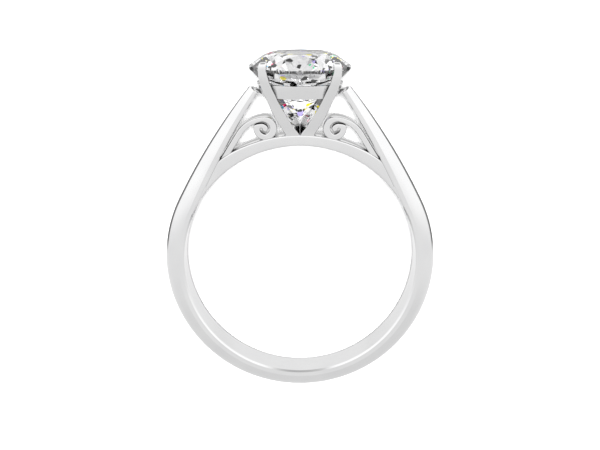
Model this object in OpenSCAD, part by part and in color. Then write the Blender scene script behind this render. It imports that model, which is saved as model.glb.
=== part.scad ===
// Cathedral solitaire ring: a round brilliant in a four-prong basket, carried by two
// rising shoulders over a bridge with a scroll on each side.
// The ring is drawn upright in its own plane: X across, Y from the finger to the stone,
// Z along the finger. It is then laid on its side, as it comes to rest on a table.

/* [Finger hole and band] */
// Inside diameter of the band, a US size 6
finger_d = 16.5; // [15.3:0.1:18.9]
// Width of the band along the finger
band_w = 2.8; // [2.5:0.1:3.2]
// Thickness of the band at its crown
band_t = 1.4; // [1.3:0.05:1.7]
// Height of the domed part of that thickness
band_dome = 1.0; // [0.8:0.05:1.1]
// Chamfer on both rims of the finger hole
rim_chamfer = 0.12; // [0.05:0.01:0.2]

/* [Cathedral shoulders] */
// Angle above the side of the band at which a shoulder leaves it
shoulder_from = 26; // [22:1:30]
// Half width of a shoulder where it meets the head
shoulder_end_half_w = 0.75; // [0.6:0.05:1]
// Thickness of a shoulder where it meets the head
shoulder_end_t = 0.72; // [0.6:0.02:0.9]
// Height of the domed part of that thickness, where it meets the head
shoulder_end_dome = 0.42; // [0.36:0.02:0.5]
// How far the crown of that end stands outside the gallery rail
shoulder_end_out = 0.46; // [0.4:0.02:0.5]
// How far the crown of that end lies below the top of the rail
shoulder_end_drop = 0.28; // [0.15:0.01:0.4]

/* [Bridge and scrolls] */
// Thickness of the bridge over the finger, under the stone
bridge_t = 0.78; // [0.7:0.01:0.9]
// Radius of the bridge's outer face, whose centre lies below the finger hole's
bridge_arc_r = 9.93; // [9.8:0.01:10.1]
// Width of the bridge along the finger
bridge_w = 2.1; // [1.9:0.05:2.1]
// Width of a scroll along the finger
scroll_w = 1.85; // [1.5:0.05:1.9]
// Outer radius of a scroll's coil
coil_r = 0.82; // [0.76:0.01:0.84]
// Distance of a coil's centre from the middle plane
coil_x = 2.42; // [2.38:0.01:2.5]
// How far a coil sinks into the bridge
coil_sink = 0.08; // [0.05:0.01:0.12]
// Radius of the arch that rises to the coil, on its centre line
arch_r = 2.17; // [2.1:0.01:2.25]
// Thickness of that arch
arch_t = 0.42; // [0.36:0.01:0.48]

/* [Head] */
// Outer radius of the gallery rail at its top
rail_r = 3.04; // [3:0.02:3.1]
// Outer radius of the gallery rail at its foot
rail_low_r = 2.7; // [2.6:0.02:2.8]
// Height of the gallery rail
rail_h = 0.96; // [0.9:0.02:1]
// Distance from the top of the rail up to the stone's girdle
rail_below_girdle = 0.83; // [0.75:0.01:0.9]

/* [Stone] */
// Diameter of the stone
stone_d = 7.1; // [6.9:0.05:7.2]
// Share of the diameter that the table takes, corner to corner
table_share = 0.6; // [0.53:0.01:0.64]
// Height of the crown
crown_h = 0.88; // [0.75:0.01:1.1]
// Height of the girdle
girdle_h = 0.3; // [0.2:0.01:0.35]
// Depth of the pavilion
pavilion_h = 3.52; // [3.4:0.01:3.6]
// Height of the culet above the bridge
culet_clear = 0.95; // [0.9:0.01:1.05]
// Gap left between the stone and the metal
stone_gap = 0.05; // [0.03:0.01:0.08]

/* [Hidden] */
$fn = 96;

bore_r = finger_d / 2;
band_r = bore_r + band_t;
bridge_top_y = bore_r + bridge_t;
// How far solids that join run into each other
sink = 0.3;

// Heights up the head, from the middle of the finger hole
culet_y = bridge_top_y + culet_clear;
girdle_y = culet_y + pavilion_h;
crown_y = girdle_y + girdle_h;
table_y = crown_y + crown_h;
rail_top_y = girdle_y - rail_below_girdle;
rail_low_y = rail_top_y - rail_h;
stone_r = stone_d / 2;
table_r = stone_r * table_share;

// Rest on a flat surface: the stone's girdle and the edge of the band's side wall touch it
edge_r = band_r - band_dome;
rest_tilt = atan2(stone_r - band_w / 2, girdle_y + edge_r);
rest_lift = edge_r * sin(rest_tilt) + band_w / 2 * cos(rest_tilt);
dome_r = arc_radius(band_w / 2, band_dome);
low_end_y = -(band_r - dome_r) * cos(rest_tilt) - dome_r;
high_end_y = table_y * cos(rest_tilt) + table_r * sin(rest_tilt);
mid_y = (low_end_y + high_end_y) / 2;

// Radius of the arc that spans a half width and rises by a height
function arc_radius(half_w, rise) = (half_w * half_w + rise * rise) / (2 * rise);

// Value between two ends, at a share from 0 to 1 bent by a power
function blend(from, to, share, power = 1) = from + (to - from) * pow(max(share, 0), power);

// Places the upright ring on its side
module laid() {
    translate([0, -mid_y, rest_lift])
        rotate([rest_tilt, 0, 0])
            children();
}

// Repeats its children on the left and on the right
module both_sides() {
    children();
    mirror([1, 0, 0]) children();
}

// Solid through a row of closed sections with the same number of points each
module loft(sections) {
    n = len(sections[0]);
    last = len(sections) - 1;
    sides = [
        for (s = [0 : last - 1])
            for (i = [0 : n - 1])
                [s * n + i, (s + 1) * n + i, (s + 1) * n + (i + 1) % n, s * n + (i + 1) % n]
    ];
    start_cap = [for (i = [0 : n - 1]) i];
    end_cap = [for (i = [n - 1 : -1 : 0]) last * n + i];
    polyhedron([for (s = sections) each s], concat([start_cap, end_cap], sides), convexity = 6);
}

// Band

// Half-round section with flat inner side and short side walls
module band_section() {
    intersection() {
        translate([bore_r - sink, -band_w / 2]) square([band_t + sink, band_w]);
        translate([band_r - dome_r, 0]) circle(dome_r);
    }
}

module band() {
    rotate([0, 0, 180 - shoulder_from])
        rotate_extrude(angle = 180 + 2 * shoulder_from)
            band_section();
}

// Finger hole, with a chamfer at each rim
module finger_hole() {
    cylinder(h = 4 * band_w, r = bore_r, center = true);
    for (side = [0, 1])
        mirror([0, 0, side])
            translate([0, 0, band_w / 2 - rim_chamfer])
                cylinder(h = 2 * rim_chamfer, r1 = bore_r, r2 = bore_r + 2 * rim_chamfer);
}

// Shoulders

// The crown line of a shoulder is an arc, tangent to the band, that ends at the head
shoulder_start = band_r * [cos(shoulder_from), sin(shoulder_from)];
shoulder_end = [rail_r + shoulder_end_out, rail_top_y - shoulder_end_drop];
shoulder_chord = shoulder_end - shoulder_start;
shoulder_start_dir = 90 + shoulder_from;
shoulder_turn = 2 * (atan2(shoulder_chord[1], shoulder_chord[0]) - shoulder_start_dir);
shoulder_r = norm(shoulder_chord) / (2 * sin(shoulder_turn / 2));
shoulder_steps = 12;
dome_steps = 14;
// The first section lies inside the band, by this angle and this depth
shoulder_overlap = 2;
shoulder_inset = 0.01;

// The neck turns flatter and ends inside the wall of the gallery rail
neck_crown = [rail_r - 0.14, rail_top_y - 0.33];
neck_dir = 150;
neck_half_w = shoulder_end_half_w - 0.01;
neck_dome = shoulder_end_dome;
neck_t = 0.65;

// Section of a shoulder at a point of its crown line, square to a direction
function shoulder_section(crown, dir, half_w, dome, depth) =
    let (r = arc_radius(half_w, dome), span = asin(min(half_w / r, 1)))
    let (flat = [
        for (i = [0 : dome_steps])
            let (a = span * (1 - 2 * i / dome_steps))
                [r - r * cos(a), r * sin(a)],
        [depth, -half_w],
        [depth, half_w]
    ])
    [for (p = flat) [crown[0] - p[0] * sin(dir), crown[1] + p[0] * cos(dir), p[1]]];

function shoulder_station(share) =
    let (turn = shoulder_turn * share)
    let (dir = shoulder_start_dir + turn)
    let (side = shoulder_r * [cos(shoulder_start_dir + 90), sin(shoulder_start_dir + 90)])
    let (crown = shoulder_start + side - shoulder_r * [cos(dir + 90), sin(dir + 90)])
    let (half_w = blend(band_w / 2 - shoulder_inset, shoulder_end_half_w, share, 1.3))
    shoulder_section(
        crown, dir, half_w,
        blend(band_dome, shoulder_end_dome, share, 1.2),
        blend(band_t + 0.1, shoulder_end_t, share, 1.35)
    );

module shoulder() {
    root_angle = shoulder_from - shoulder_overlap;
    root = shoulder_section(
        (band_r - shoulder_inset) * [cos(root_angle), sin(root_angle)],
        90 + root_angle,
        band_w / 2 - shoulder_inset,
        band_dome,
        band_t + 0.15
    );
    neck = shoulder_section(neck_crown, neck_dir, neck_half_w, neck_dome, neck_t);
    loft(concat([root], [for (i = [1 : shoulder_steps]) shoulder_station(i / shoulder_steps)], [neck]));
}

// Bridge and scrolls

// Height of the bridge's outer face at a distance from the middle plane
function bridge_y(x) = bridge_top_y - bridge_arc_r + sqrt(pow(bridge_arc_r, 2) - pow(x, 2));

// Radius that the bridge keeps inside where it runs into the shoulders
bridge_end_r = band_r - 0.45;

module bridge() {
    foot_angle = shoulder_from + 7;
    intersection() {
        rotate([0, 0, foot_angle])
            rotate_extrude(angle = 180 - 2 * foot_angle)
                translate([bore_r - sink, -bridge_w / 2])
                    square([bridge_end_r - bore_r + sink, bridge_w]);
        translate([0, bridge_top_y - bridge_arc_r])
            cylinder(h = 2 * bridge_w, r = bridge_arc_r, center = true);
    }
}

coil_centre = [coil_x, bridge_y(coil_x) + coil_r - coil_sink];
arch_out_r = arch_r + arch_t / 2;
arch_centre = coil_centre + [0, coil_r - 0.01 - arch_out_r];
// Angle round the arch's centre at which the straight foot takes over
arch_foot_angle = 32;
arch_foot_length = 2.6;
// Thickness to which the arch thins where it meets the coil
arch_end_t = 0.32;
arch_steps = 18;

// Foot and arch in one outline: a straight foot, then an arc that thins towards the coil
module arch_outline() {
    share = function (i) i / arch_steps;
    angle = function (i) blend(arch_foot_angle, 92, share(i));
    outer = [for (i = [0 : arch_steps]) arch_out_r * [cos(angle(i)), sin(angle(i))]];
    inner = [for (i = [arch_steps : -1 : 0])
        (arch_out_r - blend(arch_t, arch_end_t, share(i))) * [cos(angle(i)), sin(angle(i))]];
    foot = function (r) r * [cos(arch_foot_angle), sin(arch_foot_angle)]
        + arch_foot_length * [sin(arch_foot_angle), -cos(arch_foot_angle)];
    translate(arch_centre)
        polygon(concat([foot(arch_out_r)], outer, inner, [foot(arch_out_r - arch_t)]));
}

// Slot that starts under the arch, rounds the coil's eye and hooks into it.
// Columns: turn from the start in degrees, distance from the coil's centre, width
slot_path = [
    [-28, 1.1, 0.17], [-14, 0.9, 0.17], [-7, 0.79, 0.16], [10, 0.6, 0.17],
    [31, 0.47, 0.17], [61, 0.34, 0.17], [104, 0.275, 0.14], [166, 0.25, 0.13],
    [204, 0.275, 0.15], [241, 0.33, 0.18], [272, 0.3, 0.19], [318, 0.3, 0.19]
];
// Radius of the coil for which those distances are given
slot_coil_r = 0.82;
slot_start = 29;
slot_steps = 40;

// Value of a column of that table at a turn
function along_slot(turn, column) = lookup(turn, [for (row = slot_path) [row[0], row[column]]]);

module coil_slot_outline() {
    first = slot_path[0][0];
    last = slot_path[len(slot_path) - 1][0];
    edge = function (side) [
        for (i = [0 : slot_steps])
            let (turn = first + (last - first) * i / slot_steps)
            let (r = along_slot(turn, 1) * coil_r / slot_coil_r + side * along_slot(turn, 2) / 2)
                r * [cos(slot_start + turn), sin(slot_start + turn)]
    ];
    inner = edge(-1);
    polygon(concat(edge(1), [for (i = [slot_steps : -1 : 0]) inner[i]]));
}

// Outline of the right scroll: foot, arch and coil, parted by the slot
module scroll_outline() {
    difference() {
        union() {
            arch_outline();
            translate(coil_centre) circle(coil_r);
        }
        translate(coil_centre) coil_slot_outline();
    }
}

module scroll() {
    linear_extrude(scroll_w, center = true) scroll_outline();
}

// Head

// One strut and prong, from the bridge to the claw over the stone's edge. The strut's inner
// corner runs towards the stone's axis as a fin.
// Columns: height above the bridge or the girdle, distance out along X and along Z,
// half width, reach of the inner corner
strut_stations = [
    [-0.43, 0.53, 0.46, 0.46], [0.08, 0.55, 0.488, 0.499], [0.62, 0.92, 0.455, 0.75],
    [1.32, 1.31, 0.445, 0.9], [1.95, 1.615, 0.398, 0.79], [2.56, 1.89, 0.36, 0.7]
];
prong_stations = [
    [-1.5, 2.07, 0.37, 0.37], [-0.6, 2.41, 0.33, 0.33], [0.2, 2.55, 0.31, 0.31], [0.55, 2.54, 0.3, 0.3],
    [0.74, 2.48, 0.2, 0.2]
];
prong_chamfer = 0.3;
fin_edge = 0.04;

// Section with its corners cut and its inner corner drawn out
function prong_section(y, out, half, reach) =
    let (c = half * (1 - prong_chamfer))
    let (inner = [[fin_edge - reach, -reach], [-reach, fin_edge - reach]])
    [for (p = concat([[c, half], [half, c], [half, -c], [c, -half]], inner, [[-half, c], [-c, half]]))
        [out + p[0], y, out + p[1]]];

module prong() {
    loft(concat(
        [for (s = strut_stations) prong_section(bridge_top_y + s[0], s[1], s[2], s[3])],
        [for (s = prong_stations) prong_section(girdle_y + s[0], s[1], s[2], s[3])]
    ));
}

// Turns a profile drawn as radius and height about the head's axis
module turned_about_head() {
    rotate([-90, 0, 0]) rotate_extrude() children();
}

module gallery_rail() {
    seat_top_r = (rail_top_y - culet_y) * stone_r / pavilion_h + stone_gap * 1.6;
    turned_about_head()
        polygon([
            [seat_top_r, rail_top_y],
            [rail_r, rail_top_y],
            [rail_low_r, rail_low_y],
            [rail_low_r - 0.4, rail_low_y]
        ]);
}

module head() {
    for (turn = [0 : 90 : 270])
        rotate([0, turn, 0]) prong();
    gallery_rail();
}

// Room for the stone, wider than it by the gap
module stone_seat() {
    slope_gap = stone_gap * 1.4;
    turned_about_head()
        polygon([
            [0, culet_y - slope_gap],
            [stone_r + stone_gap, girdle_y - stone_gap * 0.4],
            [stone_r + stone_gap, crown_y + stone_gap * 0.3],
            [table_r + stone_gap * 0.3, table_y + stone_gap],
            [0, table_y + stone_gap]
        ]);
}

module metal() {
    color([0.87, 0.87, 0.88])
        laid()
            difference() {
                union() {
                    band();
                    bridge();
                    both_sides() {
                        shoulder();
                        scroll();
                    }
                    head();
                }
                finger_hole();
                stone_seat();
            }
}

// Stone

eighth = 45;
half_step = eighth / 2;
quarter_step = eighth / 4;
// Share of the way from the table to the girdle that a star facet reaches
star_share = 0.5;
// Share of the way from the girdle to the culet that a lower half facet reaches
lower_half_share = 0.76;
main_slope = crown_h / (stone_r - table_r);
star_reach = table_r * cos(half_step);
star_tip_r = star_reach + star_share * (stone_r - star_reach);
star_tip_h = (stone_r - star_tip_r * cos(half_step)) * main_slope;
upper_half_slope = star_tip_h / ((stone_r - star_tip_r) * cos(quarter_step));
pavilion_slope = pavilion_h / stone_r;
lower_tip_r = stone_r * (1 - lower_half_share);
lower_tip_h = (stone_r - lower_tip_r * cos(half_step)) * pavilion_slope;
lower_half_slope = lower_tip_h / ((stone_r - lower_tip_r) * cos(quarter_step));
// Straight stretches of the girdle along one half facet
girdle_cuts = 4;
girdle_n = 16 * girdle_cuts;

// Point at an azimuth round the stone's axis, a radius and a height
function polar(azimuth, radius, height) = [radius * cos(azimuth), radius * sin(azimuth), height];

// Ring of points with one height, or with a height for each azimuth
function ring_of(n, first, radius, height) =
    [for (i = [0 : n - 1]) let (a = first + i * 360 / n) polar(a, radius, height(a))];

// How far a half facet of a slope cuts into the girdle at an azimuth
function scallop(azimuth, slope) =
    let (from_middle = azimuth - half_step * floor(azimuth / half_step) - quarter_step)
        stone_r * (cos(from_middle) - cos(quarter_step)) * slope;

// Round brilliant about Z: culet, pavilion, girdle, crown and table
module stone_body() {
    points = concat(
        [[0, 0, culet_y]],
        ring_of(8, half_step, lower_tip_r, function (a) girdle_y - lower_tip_h),
        ring_of(girdle_n, 0, stone_r, function (a) girdle_y + scallop(a, lower_half_slope)),
        ring_of(girdle_n, 0, stone_r, function (a) crown_y - scallop(a, upper_half_slope)),
        ring_of(8, half_step, star_tip_r, function (a) crown_y + star_tip_h),
        ring_of(8, 0, table_r, function (a) table_y)
    );
    lower_tip = function (i) 1 + (i + 8) % 8;
    low_edge = function (k) 9 + k % girdle_n;
    high_edge = function (k) low_edge(k) + girdle_n;
    star_tip = function (i) 9 + 2 * girdle_n + (i + 8) % 8;
    table = function (i) 17 + 2 * girdle_n + i % 8;
    pavilion_mains = [for (i = [0 : 7])
        [0, lower_tip(i - 1), low_edge(2 * girdle_cuts * i), lower_tip(i)]];
    lower_halves = [for (i = [0 : 15])
        [lower_tip(floor(i / 2)), for (k = [0 : girdle_cuts]) low_edge(girdle_cuts * i + k)]];
    girdle = [for (k = [0 : girdle_n - 1])
        [low_edge(k), high_edge(k), high_edge(k + 1), low_edge(k + 1)]];
    upper_halves = [for (i = [0 : 15])
        [star_tip(floor(i / 2)), for (k = [girdle_cuts : -1 : 0]) high_edge(girdle_cuts * i + k)]];
    kites = [for (i = [0 : 7])
        [table(i), star_tip(i), high_edge(2 * girdle_cuts * i), star_tip(i - 1)]];
    stars = [for (i = [0 : 7]) [table(i), table(i + 1), star_tip(i)]];
    table_face = [[for (i = [7 : -1 : 0]) table(i)]];
    polyhedron(points, concat(pavilion_mains, lower_halves, girdle, upper_halves, kites, stars, table_face));
}

module stone() {
    color([0.9, 0.95, 1.0, 0.6])
        laid()
            rotate([-90, 0, 0])
                stone_body();
}

metal();
stone();
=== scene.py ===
import math

import bmesh
import bpy
from mathutils import Matrix, Vector


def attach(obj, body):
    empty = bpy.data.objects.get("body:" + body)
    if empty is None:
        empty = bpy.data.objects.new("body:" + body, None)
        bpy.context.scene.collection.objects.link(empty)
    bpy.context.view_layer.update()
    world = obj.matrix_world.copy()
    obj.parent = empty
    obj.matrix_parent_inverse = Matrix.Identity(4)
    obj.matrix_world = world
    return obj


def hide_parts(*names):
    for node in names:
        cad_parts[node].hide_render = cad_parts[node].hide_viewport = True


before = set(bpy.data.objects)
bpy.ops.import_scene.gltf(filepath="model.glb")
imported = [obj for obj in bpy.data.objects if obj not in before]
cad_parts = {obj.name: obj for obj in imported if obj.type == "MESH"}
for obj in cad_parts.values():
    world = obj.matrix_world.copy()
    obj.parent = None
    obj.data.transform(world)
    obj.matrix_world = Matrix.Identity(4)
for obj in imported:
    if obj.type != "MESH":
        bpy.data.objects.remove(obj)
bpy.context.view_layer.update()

# Sizes in millimetres, as in the part's source
BORE_R = 8.25
BAND_W = 2.8
BAND_T = 1.4
BAND_DOME = 1.0
# Chamfer between the band's side faces and the bore
RIM = 0.12
# Angle above the horizontal at which the band turns into the shoulders
SHOULDER_FROM = 26
SHOULDER_END_HALF_W = 0.75
SHOULDER_END_T = 0.72
SHOULDER_END_DOME = 0.42
BRIDGE_T = 0.78
BRIDGE_ARC_R = 9.93
BRIDGE_W = 2.1
SCROLL_W = 1.85
COIL_R = 0.82
COIL_X = 2.42
COIL_SINK = 0.08
ARCH_R = 2.17
ARCH_T = 0.42
RAIL_R = 3.04
RAIL_LOW_R = 2.7
RAIL_H = 0.96
STONE_R = 3.55
TABLE_R = STONE_R * 0.6
CROWN_H = 0.88
GIRDLE_H = 0.3
PAVILION_H = 3.52
CULET_CLEARANCE = 0.95
RAIL_DROP = 0.83

BAND_R = BORE_R + BAND_T
BRIDGE_TOP_Y = BORE_R + BRIDGE_T
BRIDGE_DROP = BRIDGE_ARC_R - BRIDGE_TOP_Y
CULET_Y = BRIDGE_TOP_Y + CULET_CLEARANCE
GIRDLE_Y = CULET_Y + PAVILION_H
CROWN_Y = GIRDLE_Y + GIRDLE_H
TABLE_Y = CROWN_Y + CROWN_H
RAIL_TOP_Y = GIRDLE_Y - RAIL_DROP
RAIL_LOW_Y = RAIL_TOP_Y - RAIL_H
# Radius of the band's outer edges, one of which touches the floor
EDGE_R = BAND_R - BAND_DOME


# Radius of the arc over a chord of twice half_w with this rise
def arc_radius(half_w, rise):
    return (half_w * half_w + rise * rise) / (2 * rise)


def blend(a, b, share, power=1.0):
    return a + (b - a) * max(share, 0) ** power


# Point at an angle in degrees and a radius, in the plane of the ring's outline
def at(angle, radius):
    turn = math.radians(angle)
    return Vector((radius * math.cos(turn), radius * math.sin(turn), 0))


# The ring is built upright, in millimetres, and laid on its side as it rests
REST_TILT = math.atan2(STONE_R - BAND_W / 2, GIRDLE_Y + EDGE_R)
REST_LIFT = EDGE_R * math.sin(REST_TILT) + BAND_W / 2 * math.cos(REST_TILT)
DOME_R = arc_radius(BAND_W / 2, BAND_DOME)
LOW_END = -(BAND_R - DOME_R) * math.cos(REST_TILT) - DOME_R
HIGH_END = TABLE_Y * math.cos(REST_TILT) + TABLE_R * math.sin(REST_TILT)
MID_Y = (LOW_END + HIGH_END) / 2
TURN = Matrix.Rotation(REST_TILT, 4, "X")
MM = 0.001
LAY_DOWN = Matrix.Translation((0, -MID_Y, REST_LIFT)) @ TURN
LAID = Matrix.Scale(MM, 4) @ LAY_DOWN
MIRROR_X = Matrix.Scale(-1, 4, (1, 0, 0))


# Materials

def new_material(name):
    mat = bpy.data.materials.new(name)
    mat.use_nodes = True
    nodes = mat.node_tree.nodes
    return mat, nodes, mat.node_tree.links, nodes["Principled BSDF"]


# Sockets of a colour mix node, which share their names with those for numbers
MIX_SHARE, MIX_FROM, MIX_TO, MIX_COLOR = 0, 6, 7, 2


def gray(tone):
    return (tone, tone, tone, 1)


def map_range(nodes, links, source, from_min, from_max, to_min, to_max):
    node = nodes.new("ShaderNodeMapRange")
    node.inputs["From Min"].default_value = from_min
    node.inputs["From Max"].default_value = from_max
    node.inputs["To Min"].default_value = to_min
    node.inputs["To Max"].default_value = to_max
    links.new(source, node.inputs["Value"])
    return node.outputs["Result"]


def noise(nodes, links, coords, scale, detail):
    node = nodes.new("ShaderNodeTexNoise")
    node.inputs["Scale"].default_value = scale
    node.inputs["Detail"].default_value = detail
    links.new(coords.outputs["Object"], node.inputs["Vector"])
    return node.outputs["Fac"]


# Haze of the polish and fine marks of the wheel: waves per metre, and the marks' depth
HAZE_SCALE = 420
WHEEL_SCALE = 5200
WHEEL_DEPTH = 0.00001
HAZE_LOW, HAZE_HIGH = 0.3, 0.7
POLISH_BEST, POLISH_WORST = 0.07, 0.14
# Reach of the shade painted into the colour of narrow hollows, and how open they are where it is
# full and where it ends
HOLLOW_REACH = 0.0005
HOLLOW_DEEP, HOLLOW_OPEN = 0.1, 0.5
# Share of the metal's colour kept where the painted shade is fullest
HOLLOW_PAINTED_SHADE_TONE = 0.15


def metal_material():
    mat, nodes, links, shader = new_material("white_gold_polish")
    shader.inputs["Metallic"].default_value = 1.0
    coords = nodes.new("ShaderNodeTexCoord")
    haze = noise(nodes, links, coords, HAZE_SCALE, 4)
    tone = nodes.new("ShaderNodeValToRGB")
    tone.color_ramp.elements[0].position = HAZE_LOW
    tone.color_ramp.elements[0].color = (0.735, 0.735, 0.74, 1)
    tone.color_ramp.elements[1].position = HAZE_HIGH
    tone.color_ramp.elements[1].color = gray(0.775)
    links.new(haze, tone.inputs["Fac"])
    # Painted shade: slots and inner corners, where the polished walls face each other, are darkened
    # in the base colour by how enclosed they are
    hollow = nodes.new("ShaderNodeAmbientOcclusion")
    hollow.samples = 8
    hollow.inputs["Distance"].default_value = HOLLOW_REACH
    openness = hollow.outputs["AO"]
    depth = map_range(nodes, links, openness, HOLLOW_DEEP, HOLLOW_OPEN, HOLLOW_PAINTED_SHADE_TONE, 1.0)
    painted_shade = nodes.new("ShaderNodeMix")
    painted_shade.data_type = "RGBA"
    painted_shade.inputs[MIX_FROM].default_value = gray(0.0)
    links.new(depth, painted_shade.inputs[MIX_SHARE])
    links.new(tone.outputs["Color"], painted_shade.inputs[MIX_TO])
    links.new(painted_shade.outputs[MIX_COLOR], shader.inputs["Base Color"])
    rough = map_range(nodes, links, haze, HAZE_LOW, HAZE_HIGH, POLISH_BEST, POLISH_WORST)
    links.new(rough, shader.inputs["Roughness"])
    bump = nodes.new("ShaderNodeBump")
    bump.inputs["Strength"].default_value = 0.05
    bump.inputs["Distance"].default_value = WHEEL_DEPTH
    links.new(noise(nodes, links, coords, WHEEL_SCALE, 3), bump.inputs["Height"])
    links.new(bump.outputs["Normal"], shader.inputs["Normal"])
    return mat


# Painted fire and painted reflections: cells of colour painted into the stone's base colour stand
# for its coloured flashes of light and its dark glints. Start of each on a scale of 0 to 1, and
# colour
CELL_SCALE = 2900
PAINTED_FIRE_COLORS = (
    (0.0, (0.97, 0.97, 0.97, 1)),
    (0.35, (0.92, 0.92, 0.93, 1)),
    (0.76, (0.76, 0.76, 0.78, 1)),
    (0.885, (0.0, 0.0, 0.0, 1)),
    (0.94, (1.0, 0.0, 0.03, 1)),
    (0.952, (1.0, 0.75, 0.0, 1)),
    (0.96, (0.0, 0.5, 0.1, 1)),
    (0.966, (0.0, 0.3, 0.9, 1)),
    (0.98, (0.35, 0.25, 1.0, 1)),
)


def stone_material():
    mat, nodes, links, shader = new_material("brilliant_stone")
    shader.inputs["Transmission Weight"].default_value = 1.0
    shader.inputs["IOR"].default_value = 2.0
    shader.inputs["Roughness"].default_value = 0.0
    coords = nodes.new("ShaderNodeTexCoord")
    cells = nodes.new("ShaderNodeTexVoronoi")
    cells.inputs["Scale"].default_value = CELL_SCALE
    links.new(coords.outputs["Object"], cells.inputs["Vector"])
    hue = nodes.new("ShaderNodeSeparateColor")
    links.new(cells.outputs["Color"], hue.inputs["Color"])
    # Painted fire: the cells' colours go into the stone's base colour in place of dispersed light
    painted_fire = nodes.new("ShaderNodeValToRGB")
    ramp = painted_fire.color_ramp
    ramp.interpolation = "CONSTANT"
    ramp.elements.remove(ramp.elements[1])
    ramp.elements[0].color = PAINTED_FIRE_COLORS[0][1]
    for position, color in PAINTED_FIRE_COLORS[1:]:
        ramp.elements.new(position).color = color
    links.new(hue.outputs["Red"], painted_fire.inputs["Fac"])
    links.new(painted_fire.outputs["Color"], shader.inputs["Base Color"])
    return mat


METAL = metal_material()
STONE = stone_material()


# Mesh helpers

# Lays a mesh on its side in metres. Edges sharper than sharp_deg stay hard, all of them at 0
def add_piece(name, bm, material, node, sharp_deg):
    bmesh.ops.transform(bm, matrix=LAID, verts=bm.verts)
    bmesh.ops.recalc_face_normals(bm, faces=bm.faces)
    for face in bm.faces:
        face.smooth = sharp_deg > 0
    mesh = bpy.data.meshes.new(name)
    bm.to_mesh(mesh)
    bm.free()
    if sharp_deg > 0:
        mesh.set_sharp_from_angle(angle=math.radians(sharp_deg))
    mesh.materials.append(material)
    obj = bpy.data.objects.new(name, mesh)
    bpy.context.scene.collection.objects.link(obj)
    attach(obj, "root")
    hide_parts(node)


def closed_loop(bm, points):
    verts = [bm.verts.new(p) for p in points]
    return [bm.edges.new((v, verts[(i + 1) % len(verts)])) for i, v in enumerate(verts)]


def bridge_all(bm, loops):
    for low, high in zip(loops, loops[1:]):
        bmesh.ops.bridge_loops(bm, edges=low + high)


def soften(bm, edges, width, segments):
    bmesh.ops.bevel(
        bm, geom=edges, offset=width, segments=segments, profile=0.5, affect="EDGES",
        material=-1, clamp_overlap=True,
    )


def mesh_edges(geom):
    return [e for e in geom if isinstance(e, bmesh.types.BMEdge)]


# Loft through closed loops, open at both ends
def loft(bm, sections):
    loops = [closed_loop(bm, points) for points in sections]
    bridge_all(bm, loops)
    return loops[0], loops[-1]


# Shank and shoulders, one half-round bar from head to head

DOME_STEPS = 24
# The chamfer bulges a little: its middle point lies at this share of its width from both faces
CHAMFER_MIDDLE = 0.3


# Section of the bar, from the crown of its dome towards the bore. Points within the chamfer's
# depth of the inner face are kept out of the finger hole
def bar_section(crown, direction, half_w, dome, depth, side=1):
    r = arc_radius(half_w, dome)
    span = math.asin(min(half_w / r, 1))
    flat = []
    for i in range(DOME_STEPS + 1):
        a = span * (1 - 2 * i / DOME_STEPS)
        flat.append((r - r * math.cos(a), r * math.sin(a)))
    near = RIM * CHAMFER_MIDDLE
    flat += [(depth - RIM, -half_w), (depth - near, -half_w + near), (depth, -half_w + RIM)]
    flat += [(depth, -half_w * 0.4), (depth, half_w * 0.4)]
    flat += [(depth, half_w - RIM), (depth - near, half_w - near), (depth - RIM, half_w)]
    turn = math.radians(direction)
    points = []
    for p, z in flat:
        x = crown.x - p * math.sin(turn)
        y = crown.y + p * math.cos(turn)
        reach = math.hypot(x, y)
        least = BORE_R + RIM
        if p > depth - RIM / 2:
            least = BORE_R + max(0.0, abs(z) - half_w + RIM)
        if p >= depth - RIM and reach < least:
            x, y = x * least / reach, y * least / reach
        points.append((side * x, y, z))
    return points


SHOULDER_END_OUT = 0.46
SHOULDER_END_DROP = 0.28
SHOULDER_START = at(SHOULDER_FROM, BAND_R)
SHOULDER_END = Vector((RAIL_R + SHOULDER_END_OUT, RAIL_TOP_Y - SHOULDER_END_DROP, 0))
# Neck, the last section, which lies inside the rail
NECK_IN = 0.44
NECK_DROP = 0.66
NECK_CROWN = Vector((RAIL_R - NECK_IN, RAIL_TOP_Y - NECK_DROP, 0))
NECK_DIR = 142
NECK_HALF_W = SHOULDER_END_HALF_W - 0.03
NECK_DOME = 0.38
NECK_T = 0.5
SHOULDER_END_EDGE = 0.09
# The shoulder's crown follows an arc that leaves the band along its tangent
CHORD = SHOULDER_END - SHOULDER_START
START_DIR = 90 + SHOULDER_FROM
SHOULDER_TURN = 2 * (math.degrees(math.atan2(CHORD.y, CHORD.x)) - START_DIR)
SHOULDER_R = CHORD.length / (2 * math.sin(math.radians(SHOULDER_TURN / 2)))
SHOULDER_STEPS = 26
# The shoulder tapers slowly at first: powers for its width, thickness and dome
TAPER_W, TAPER_T, TAPER_DOME = 1.3, 1.35, 1.2


def shoulder_section(share, side):
    direction = START_DIR + SHOULDER_TURN * share
    crown = SHOULDER_START + at(START_DIR + 90, SHOULDER_R) - at(direction + 90, SHOULDER_R)
    half_w = blend(BAND_W / 2, SHOULDER_END_HALF_W, share, TAPER_W)
    depth = blend(BAND_T, SHOULDER_END_T, share, TAPER_T)
    dome = blend(BAND_DOME, SHOULDER_END_DOME, share, TAPER_DOME)
    return bar_section(crown, direction, half_w, dome, depth, side)


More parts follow.
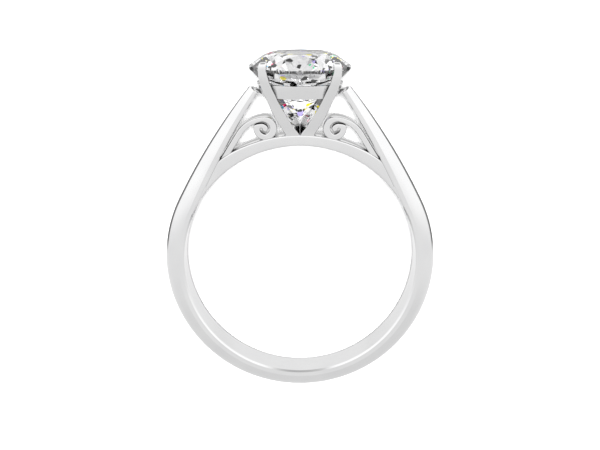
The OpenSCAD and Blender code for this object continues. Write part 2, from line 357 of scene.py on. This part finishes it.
def build_shank():
    bm = bmesh.new()
    start = bar_section(SHOULDER_START, START_DIR, BAND_W / 2, BAND_DOME, BAND_T)
    first = closed_loop(bm, start)
    spun = bmesh.ops.spin(
        bm, geom=list(bm.verts) + first, cent=(0, 0, 0), axis=(0, 0, 1), dvec=(0, 0, 0),
        angle=-math.radians(180 + 2 * SHOULDER_FROM), steps=120, use_duplicate=False,
    )
    for side, end in ((1, first), (-1, mesh_edges(spun["geom_last"]))):
        loops = [end]
        for i in range(1, SHOULDER_STEPS + 1):
            loops.append(closed_loop(bm, shoulder_section(i / SHOULDER_STEPS, side)))
        neck = bar_section(NECK_CROWN, NECK_DIR, NECK_HALF_W, NECK_DOME, NECK_T, side)
        loops.append(closed_loop(bm, neck))
        bridge_all(bm, loops)
        bmesh.ops.edgeloop_fill(bm, edges=loops[-1])
        soften(bm, loops[-2], SHOULDER_END_EDGE, 3)
    add_piece("shank", bm, METAL, "metal", 13)


# Bridge

BRIDGE_EDGE = 0.12
BRIDGE_STEPS = 72
# The bridge's underside stays clear of the bore, and its ends below the band's surface
BORE_CLEARANCE = 0.006
BAND_COVER = 0.45
FOOT_TURN = 7
EDGE_STEPS = 4


def bridge_section(angle):
    sine = math.sin(math.radians(angle))
    cosine = math.cos(math.radians(angle))
    top = math.sqrt(BRIDGE_ARC_R ** 2 - (BRIDGE_DROP * cosine) ** 2) - BRIDGE_DROP * sine
    high = min(top, BAND_R - BAND_COVER) - BRIDGE_EDGE
    low = BORE_R + BORE_CLEARANCE + BRIDGE_EDGE
    z = BRIDGE_W / 2 - BRIDGE_EDGE
    points = []
    for radius, across, first in ((low, -z, 180), (high, -z, 270), (high, z, 0), (low, z, 90)):
        for i in range(EDGE_STEPS + 1):
            p = at(first + 90 * i / EDGE_STEPS, BRIDGE_EDGE)
            points.append(((radius + p.x) * cosine, (radius + p.x) * sine, across + p.y))
    return points


def build_bridge():
    bm = bmesh.new()
    foot = SHOULDER_FROM + FOOT_TURN
    angles = [blend(foot, 180 - foot, i / BRIDGE_STEPS) for i in range(BRIDGE_STEPS + 1)]
    for end in loft(bm, [bridge_section(angle) for angle in angles]):
        bmesh.ops.edgeloop_fill(bm, edges=end)
    add_piece("bridge", bm, METAL, "metal", 35)


# Scrolls

COIL_Y = math.sqrt(BRIDGE_ARC_R ** 2 - COIL_X ** 2) - BRIDGE_DROP + COIL_R - COIL_SINK
COIL_CENTRE = Vector((COIL_X, COIL_Y, 0))
ARCH_OUT_R = ARCH_R + ARCH_T / 2
ARCH_CENTRE = Vector((COIL_X, COIL_Y + COIL_R - ARCH_OUT_R, 0))
# The arch is thinner over the coil than at its foot, which runs on straight into the shoulder
ARCH_FOOT = 32
ARCH_UNDER = 80
ARCH_END_T = 0.32
FOOT_LENGTH = 2.6
ARCH_STEPS = 22
COIL_STEPS = 46
SLOT_START = 29
# Turn from the start in degrees, distance of the slot's middle from the coil's centre, width
SLOT_PATH = (
    (-14, 0.9, 0.17), (-7, 0.79, 0.16), (10, 0.6, 0.17), (31, 0.47, 0.17), (61, 0.34, 0.17),
    (104, 0.275, 0.14), (166, 0.25, 0.13), (204, 0.275, 0.15), (241, 0.33, 0.18), (272, 0.3, 0.19),
    (318, 0.3, 0.19),
)
SLOT_END = SLOT_PATH[-1][0]
# Turns at which the slot's inner and outer wall start, and how far before it the coil ends
SLOT_IN, SLOT_OUT = -12, 31
COIL_STOP = 16
SCROLL_EDGE = 0.075


# Point beside the slot's middle line, on its inner side at -1 and its outer side at 1
def slot_point(turn, side):
    for low, high in zip(SLOT_PATH, SLOT_PATH[1:]):
        if turn <= high[0]:
            share = max(turn - low[0], 0) / (high[0] - low[0])
            radius, width = (blend(low[column], high[column], share) for column in (1, 2))
            break
    return COIL_CENTRE + at(SLOT_START + turn, radius + side * width / 2)


def spread(first, last, steps):
    return [blend(first, last, i / steps) for i in range(steps + 1)]


# Outline of the right scroll: up the foot and over the arch, round the coil, in along one wall
# of the slot and out along the other, and back under the arch
def scroll_outline():
    foot = at(ARCH_FOOT - 90, FOOT_LENGTH)
    points = [ARCH_CENTRE + at(ARCH_FOOT, ARCH_OUT_R) + foot]
    for angle in spread(ARCH_FOOT, 90, ARCH_STEPS)[:-1]:
        points.append(ARCH_CENTRE + at(angle, ARCH_OUT_R))
    for angle in spread(90, 360 + SLOT_START - COIL_STOP, COIL_STEPS):
        points.append(COIL_CENTRE + at(angle, COIL_R))
    points += [slot_point(turn, -1) for turn in spread(SLOT_IN, SLOT_END, COIL_STEPS)]
    # Rounded end of the slot
    end, low, high = (slot_point(SLOT_END, side) for side in (0, -1, 1))
    reach = (high - low).length / 2
    points += [end + at(SLOT_START + SLOT_END + 180 - 30 * i, reach) for i in range(1, 6)]
    points += [slot_point(turn, 1) for turn in spread(SLOT_END, SLOT_OUT, COIL_STEPS)]
    for angle in spread(ARCH_UNDER, ARCH_FOOT, ARCH_STEPS)[1:]:
        thickness = blend(ARCH_T, ARCH_END_T, (angle - ARCH_FOOT) / (90 - ARCH_FOOT))
        points.append(ARCH_CENTRE + at(angle, ARCH_OUT_R - thickness))
    points.append(ARCH_CENTRE + at(ARCH_FOOT, ARCH_OUT_R - ARCH_T) + foot)
    return points


def build_scroll(name, side):
    bm = bmesh.new()
    rim = closed_loop(bm, [p + Vector((0, 0, -SCROLL_W / 2)) for p in scroll_outline()])
    face = bmesh.ops.contextual_create(bm, geom=rim)["faces"]
    raised = bmesh.ops.extrude_face_region(bm, geom=face, use_keep_orig=True)["geom"]
    top = [v for v in raised if isinstance(v, bmesh.types.BMVert)]
    bmesh.ops.translate(bm, vec=(0, 0, SCROLL_W), verts=top)
    flat = [e for e in bm.edges if abs(e.verts[0].co.z - e.verts[1].co.z) < 1e-4]
    soften(bm, flat, SCROLL_EDGE, 4)
    if side < 0:
        bmesh.ops.transform(bm, matrix=MIRROR_X, verts=bm.verts)
    add_piece(name, bm, METAL, "metal", 32)


# Head: struts, prongs and the rail round them

# Height above the bridge or the girdle, distance out along X and Z, half width, reach of the
# inner corner, which runs towards the stone's axis as a fin
STRUT_STATIONS = (
    (-0.43, 0.53, 0.46, 0.51), (0.08, 0.55, 0.488, 0.54), (0.62, 0.92, 0.455, 0.9),
    (1.32, 1.31, 0.445, 0.9), (1.95, 1.615, 0.398, 0.79), (2.56, 1.89, 0.36, 0.7),
)
PRONG_STATIONS = (
    (-1.5, 2.07, 0.37, 0.37), (-1.05, 2.26, 0.345, 0.345), (-0.6, 2.41, 0.33, 0.33),
    (-0.2, 2.5, 0.32, 0.32), (0.2, 2.55, 0.31, 0.31), (0.45, 2.545, 0.305, 0.305),
    (0.58, 2.53, 0.285, 0.285), (0.68, 2.505, 0.24, 0.24), (0.74, 2.48, 0.16, 0.16),
)
# Corner radius as a share of the half width, on the struts, the prongs and the prongs' claws
STRUT_CORNER, PRONG_CORNER, CLAW_CORNER = 0.2, 0.26, 0.6
FIRST_CLAW = 4
FIN_CORNER = 0.05
CORNER_STEPS = 4


# Square section with rounded corners, the one towards the stone's axis drawn out as a fin
def prong_section(y, out, half, reach, corner):
    points = []
    for quarter in range(4):
        fin = quarter == 2 and reach > half
        radius = FIN_CORNER if fin else corner * half
        middle = at(45 + 90 * quarter, ((reach if fin else half) - radius) * math.sqrt(2))
        for i in range(CORNER_STEPS + 1):
            p = middle + at(90 * quarter + 90 * i / CORNER_STEPS, radius)
            points.append((out + p.x, y, out + p.y))
    return points


def build_prong(name, turn):
    bm = bmesh.new()
    sections = [prong_section(BRIDGE_TOP_Y + y, *rest, STRUT_CORNER) for y, *rest in STRUT_STATIONS]
    for i, (y, *rest) in enumerate(PRONG_STATIONS):
        corner = PRONG_CORNER if i < FIRST_CLAW else CLAW_CORNER
        sections.append(prong_section(GIRDLE_Y + y, *rest, corner))
    for end in loft(bm, sections):
        bmesh.ops.edgeloop_fill(bm, edges=end)
    rotation = Matrix.Rotation(math.radians(turn), 3, "Y")
    bmesh.ops.rotate(bm, cent=(0, 0, 0), matrix=rotation, verts=bm.verts)
    add_piece(name, bm, METAL, "metal", 38)


# The rail's inner side lies under the stone's pavilion, this far out from it
SEAT_GAP = 0.08
RAIL_EDGE = 0.07
RAIL_WALL = 0.4


def build_rail():
    bm = bmesh.new()
    seat = (RAIL_TOP_Y - CULET_Y) * STONE_R / PAVILION_H + SEAT_GAP
    near = RAIL_EDGE * 0.3
    side = RAIL_EDGE * 0.35
    profile = (
        (seat, RAIL_TOP_Y), (RAIL_R - RAIL_EDGE, RAIL_TOP_Y), (RAIL_R - near, RAIL_TOP_Y - near),
        (RAIL_R - side, RAIL_TOP_Y - RAIL_EDGE),
        ((RAIL_R + RAIL_LOW_R) / 2, (RAIL_TOP_Y + RAIL_LOW_Y) / 2),
        (RAIL_LOW_R + side, RAIL_LOW_Y + RAIL_EDGE), (RAIL_LOW_R, RAIL_LOW_Y + near),
        (RAIL_LOW_R - RAIL_EDGE, RAIL_LOW_Y), (RAIL_LOW_R - RAIL_WALL, RAIL_LOW_Y),
    )
    loop = closed_loop(bm, [(r, y, 0) for r, y in profile])
    bmesh.ops.spin(
        bm, geom=list(bm.verts) + loop, cent=(0, 0, 0), axis=(0, 1, 0), dvec=(0, 0, 0),
        angle=2 * math.pi, steps=128, use_duplicate=False, use_merge=True,
    )
    add_piece("gallery_rail", bm, METAL, "metal", 35)


# Stone: a round brilliant, each facet cut by a plane

# How far the star facets reach to the girdle, and the lower half facets to the culet
STAR_SHARE = 0.5
LOWER_SHARE = 0.76
HALF_STEP = 22.5
QUARTER_STEP = 11.25


def build_stone():
    bm = bmesh.new()
    bmesh.ops.create_cone(
        bm, cap_ends=True, segments=96, radius1=STONE_R, radius2=STONE_R, depth=TABLE_Y - CULET_Y,
        matrix=Matrix.Translation((0, 0, (TABLE_Y + CULET_Y) / 2)),
    )
    cos_half = math.cos(math.radians(HALF_STEP))
    cos_quarter = math.cos(math.radians(QUARTER_STEP))
    main_slope = CROWN_H / (STONE_R - TABLE_R)
    star_reach = TABLE_R * cos_half
    star_tip_r = star_reach + STAR_SHARE * (STONE_R - star_reach)
    star_tip_h = (STONE_R - star_tip_r * cos_half) * main_slope
    upper_slope = star_tip_h / ((STONE_R - star_tip_r) * cos_quarter)
    star_slope = (CROWN_H - star_tip_h) / (star_tip_r - star_reach)
    pavilion_slope = PAVILION_H / STONE_R
    lower_tip_r = STONE_R * (1 - LOWER_SHARE)
    lower_tip_h = (STONE_R - lower_tip_r * cos_half) * pavilion_slope
    lower_slope = lower_tip_h / ((STONE_R - lower_tip_r) * cos_quarter)
    # Each kind: facets, first azimuth, distance from the axis, height there, slope outwards
    kinds = (
        (8, 0, STONE_R, CROWN_Y, main_slope),
        (8, HALF_STEP, star_reach, TABLE_Y, star_slope),
        (16, QUARTER_STEP, STONE_R * cos_quarter, CROWN_Y, upper_slope),
        (8, 0, STONE_R, GIRDLE_Y, -pavilion_slope),
        (16, QUARTER_STEP, STONE_R * cos_quarter, GIRDLE_Y, -lower_slope),
    )
    for count, first, reach, height, slope in kinds:
        for i in range(count):
            azimuth = first + i * 360 / count
            foot = at(azimuth, reach) + Vector((0, 0, height))
            normal = at(azimuth, abs(slope)) + Vector((0, 0, 1 if slope > 0 else -1))
            cut = bmesh.ops.bisect_plane(
                bm, geom=list(bm.verts) + list(bm.edges) + list(bm.faces), dist=1e-5,
                plane_co=foot, plane_no=normal.normalized(), clear_outer=True,
            )["geom_cut"]
            bmesh.ops.contextual_create(bm, geom=mesh_edges(cut))
    bmesh.ops.remove_doubles(bm, verts=bm.verts, dist=1e-4)
    upright = Matrix.Rotation(-math.pi / 2, 3, "X")
    bmesh.ops.rotate(bm, cent=(0, 0, 0), matrix=upright, verts=bm.verts)
    add_piece("round_brilliant", bm, STONE, "stone", 0)


build_shank()
build_bridge()
build_scroll("scroll_right", 1)
build_scroll("scroll_left", -1)
for number in range(4):
    build_prong("prong_%d" % (number + 1), 90 * number)
build_rail()
build_stone()


# Floor, light and camera

FLOOR_HALF = 1.5
# Tone of the floor in the picture, and as it lights the ring
FLOOR_SEEN = 0.98
FLOOR_LIT = 0.76


def build_floor():
    bm = bmesh.new()
    bmesh.ops.create_grid(bm, x_segments=1, y_segments=1, size=FLOOR_HALF)
    mesh = bpy.data.meshes.new("floor")
    bm.to_mesh(mesh)
    bm.free()
    mat, nodes, links, shader = new_material("floor_white")
    seen = nodes.new("ShaderNodeLightPath")
    tone = nodes.new("ShaderNodeMix")
    tone.data_type = "RGBA"
    tone.inputs[MIX_FROM].default_value = gray(FLOOR_LIT)
    tone.inputs[MIX_TO].default_value = gray(FLOOR_SEEN)
    links.new(seen.outputs["Is Camera Ray"], tone.inputs[MIX_SHARE])
    links.new(tone.outputs[MIX_COLOR], shader.inputs["Base Color"])
    shader.inputs["Roughness"].default_value = 0.9
    shader.inputs["Specular IOR Level"].default_value = 0.0
    mesh.materials.append(mat)
    floor = bpy.data.objects.new("floor", mesh)
    # Metal and stone show the studio below the horizon too
    floor.visible_glossy = False
    floor.visible_transmission = False
    bpy.context.scene.collection.objects.link(floor)


KEY_PLACE = (0.0, 0.045, 0.6)
KEY_SIZE = 0.12
KEY_WATTS = 5.0


def build_light():
    data = bpy.data.lights.new("key", "AREA")
    data.shape = "RECTANGLE"
    data.size = KEY_SIZE
    data.size_y = KEY_SIZE
    data.energy = KEY_WATTS
    lamp = bpy.data.objects.new("key", data)
    lamp.location = KEY_PLACE
    lamp.rotation_euler = (-Vector(KEY_PLACE)).to_track_quat("-Z", "Y").to_euler()
    lamp.visible_glossy = False
    bpy.context.scene.collection.objects.link(lamp)


# Tones of the studio from its low end to its high end along Y, on a scale of 0 to 1
TONES = (
    (0.0, 0.63), (0.17, 0.64), (0.31, 0.715), (0.42, 0.725), (0.48, 0.77), (0.56, 0.87),
    (0.64, 0.95), (0.88, 1.0),
)
# Darker zones, which draw the outlines: edges from outside to inside on Y, on Z or across
# (X to either side), tone, strength, and whether the stone lets them through
ZONES = (
    ((("Z", -0.8, -0.88),), 0.69, 0.85, True),
    ((("Z", -0.94, -0.96), ("Y", 0.08, 0.16)), 0.4, 1.0, True),
    ((("Y", 0.82, 0.9),), 0.4, 1.0, False),
    (
        (
            ("Z", -0.54, -0.68), ("Z", -0.93, -0.89), ("Y", -0.17, -0.09), ("Y", 0.4, 0.32),
            ("across", 0.31, 0.37),
        ),
        0.14, 1.0, True,
    ),
)
# The studio is brighter in polished faces than the light that it throws on the floor
STUDIO_SEEN = 1.35
STUDIO_LIGHT = 0.3


def build_world():
    world = bpy.data.worlds.new("studio")
    bpy.context.scene.world = world
    world.use_nodes = True
    nodes, links = world.node_tree.nodes, world.node_tree.links

    def math_node(operation, *sources):
        node = nodes.new("ShaderNodeMath")
        node.operation = operation
        for i, source in enumerate(sources):
            links.new(source, node.inputs[i])
        return node.outputs["Value"]

    coords = nodes.new("ShaderNodeTexCoord")
    path = nodes.new("ShaderNodeLightPath")
    split = nodes.new("ShaderNodeSeparateXYZ")
    links.new(coords.outputs["Generated"], split.inputs["Vector"])
    places = {
        "Y": split.outputs["Y"],
        "Z": split.outputs["Z"],
        "across": math_node("ABSOLUTE", split.outputs["X"]),
    }
    tones = nodes.new("ShaderNodeValToRGB")
    ramp = tones.color_ramp
    for element, (place, tone) in zip(ramp.elements, (TONES[0], TONES[-1])):
        element.position = place
        element.color = gray(tone)
    for place, tone in TONES[1:-1]:
        ramp.elements.new(place).color = gray(tone)
    links.new(map_range(nodes, links, places["Y"], -1, 1, 0, 1), tones.inputs["Fac"])
    color = tones.outputs["Color"]
    unrefracted = map_range(nodes, links, path.outputs["Is Transmission Ray"], 0, 1, 1, 0)
    for edges, tone, strength, through in ZONES:
        inside = None
        for place, low, high in edges:
            edge = map_range(nodes, links, places[place], low, high, 0, strength)
            edge.node.interpolation_type = "SMOOTHSTEP"
            inside = math_node("MULTIPLY", inside, edge) if inside else edge
        if not through:
            inside = math_node("MULTIPLY", inside, unrefracted)
        mix = nodes.new("ShaderNodeMix")
        mix.data_type = "RGBA"
        mix.inputs[MIX_TO].default_value = gray(tone)
        links.new(inside, mix.inputs[MIX_SHARE])
        links.new(color, mix.inputs[MIX_FROM])
        color = mix.outputs[MIX_COLOR]
    background = nodes["Background"]
    links.new(color, background.inputs["Color"])
    diffuse = path.outputs["Is Diffuse Ray"]
    brightness = map_range(nodes, links, diffuse, 0, 1, STUDIO_SEEN, STUDIO_LIGHT)
    links.new(brightness, background.inputs["Strength"])


# The camera's place by the upright ring: height over the finger hole's centre and distance in
# millimetres, downward tilt in degrees, focal length and width of the picture in pixels
EYE_Y = 22.6
EYE_Z = 82.5
DIP = 13.8
FOCAL = 1183
PICTURE_W = 600
SENSOR_W = 36


def build_camera():
    data = bpy.data.cameras.new("camera")
    data.sensor_width = SENSOR_W
    data.sensor_fit = "HORIZONTAL"
    data.lens = FOCAL / PICTURE_W * SENSOR_W
    data.clip_start = 0.001
    eye = Matrix.Translation((0, EYE_Y, EYE_Z)) @ Matrix.Rotation(-math.radians(DIP), 4, "X")
    placed = LAY_DOWN @ eye
    placed.translation *= MM
    cam = bpy.data.objects.new("camera", data)
    cam.matrix_world = placed
    bpy.context.scene.collection.objects.link(cam)
    bpy.context.scene.camera = cam


build_floor()
build_world()
build_light()
bpy.context.scene.view_settings.view_transform = "Standard"
build_camera()
